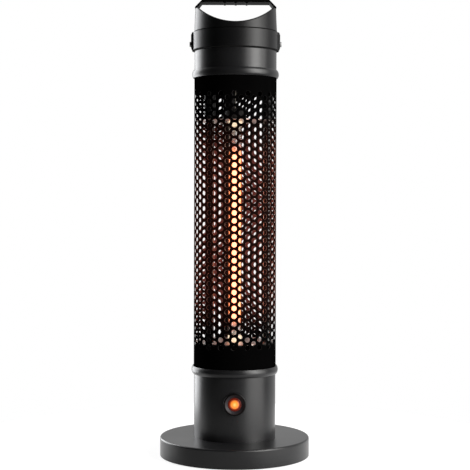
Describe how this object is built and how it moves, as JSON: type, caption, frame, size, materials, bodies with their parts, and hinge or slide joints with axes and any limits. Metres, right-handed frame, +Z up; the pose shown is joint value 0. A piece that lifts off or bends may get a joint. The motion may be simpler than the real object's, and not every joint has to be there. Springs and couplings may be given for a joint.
{
  "type": "infrared tower heater",
  "caption": "Free-standing infrared heater: weighted round base, push switch, perforated guard round an upright glowing lamp, carrying handle on top.",
  "frame": {"origin": "floor point under the column axis, at the underside of the rubber feet", "axes": "+Z up along the column, -Y to the front where the switch is, +X to the right seen from the front"},
  "size_m": [0.2134, 0.2134, 0.6531],
  "materials": {
    "charcoal_coat": "satin charcoal powder coat",
    "charcoal_moulding": "satin charcoal moulding",
    "grip_black": "black grip moulding",
    "guard_black": "heat-resistant black coat",
    "ballast_iron": "rough cast ring",
    "zinc_steel": "zinc plated",
    "foot_rubber": "black rubber",
    "black_plastic": "glossy black moulding",
    "button_red": "translucent red-brown collar",
    "lens_amber": "lit amber lens",
    "terminal_brass": "plain brass",
    "reflector_bright": "polished",
    "ceramic_white": "unglazed",
    "quartz": "clear quartz",
    "filament_glow": "glowing carbon bar",
    "pin_steel": "bright wire",
    "lead_sleeve": "woven heat-proof sleeve"
  },
  "bodies": {
    "tower": {"base_cover": "charcoal_coat", "lower_housing": "charcoal_coat", "lower_bead": "charcoal_coat", "upper_bead": "charcoal_coat", "upper_housing": "charcoal_coat", "collar": "charcoal_coat", "handle_cap": "charcoal_moulding", "side_lugs": "charcoal_moulding", "handle_grip": "grip_black", "guard": "guard_black", "base_weight": "ballast_iron", "base_plate": "zinc_steel", "base_plate_screws": "zinc_steel", "column_bolts": "zinc_steel", "column_nuts": "zinc_steel", "tip_spring": "zinc_steel", "switch_spring": "zinc_steel", "lower_deck": "zinc_steel", "upper_deck": "zinc_steel", "tie_rods": "zinc_steel", "tie_rod_nuts": "zinc_steel", "lower_spacers": "zinc_steel", "upper_spacers": "zinc_steel", "rod_clips": "zinc_steel", "socket_screws": "zinc_steel", "terminal_screws": "zinc_steel", "side_screws": "zinc_steel", "base_feet": "foot_rubber", "switch_seal": "foot_rubber", "gland_seal": "foot_rubber", "switch_bezel": "black_plastic", "switch_nut": "black_plastic", "switch_body": "black_plastic", "gland_body": "black_plastic", "gland_cap": "black_plastic", "gland_nut": "black_plastic", "tip_switch_body": "black_plastic", "thermal_cutout": "black_plastic", "tip_terminals": "terminal_brass", "switch_terminals": "terminal_brass", "lower_reflector": "reflector_bright", "upper_reflector": "reflector_bright", "lower_socket": "ceramic_white", "upper_socket": "ceramic_white", "lamp_caps": "ceramic_white", "terminal_block": "ceramic_white", "quartz_tube": "quartz", "filament": "filament_glow", "lamp_pins": "pin_steel", "lamp_lead_lower": "lead_sleeve", "lamp_lead_upper": "lead_sleeve", "return_lead": "lead_sleeve", "switch_lead_block": "lead_sleeve", "switch_lead_tip": "lead_sleeve", "tip_lead_block": "lead_sleeve"},
    "button": {"switch_button": "button_red", "switch_lens": "lens_amber"},
    "plunger": {"tip_plunger": "black_plastic"}
  },
  "joints": [
    {"name": "switch_press", "type": "slide", "parent": "tower", "child": "button", "axis": [0, 1, 0], "range_m": [0, 0.0025], "stiffness_N_per_m": 800, "springref_m": -0.0015, "deforming": ["switch_spring"]},
    {"name": "tip_plunger_drop", "type": "slide", "parent": "tower", "child": "plunger", "axis": [0, 0, -1], "range_m": [0, 0.0032], "stiffness_N_per_m": 200, "springref_m": 0.006, "deforming": ["tip_spring"]}
  ]
}
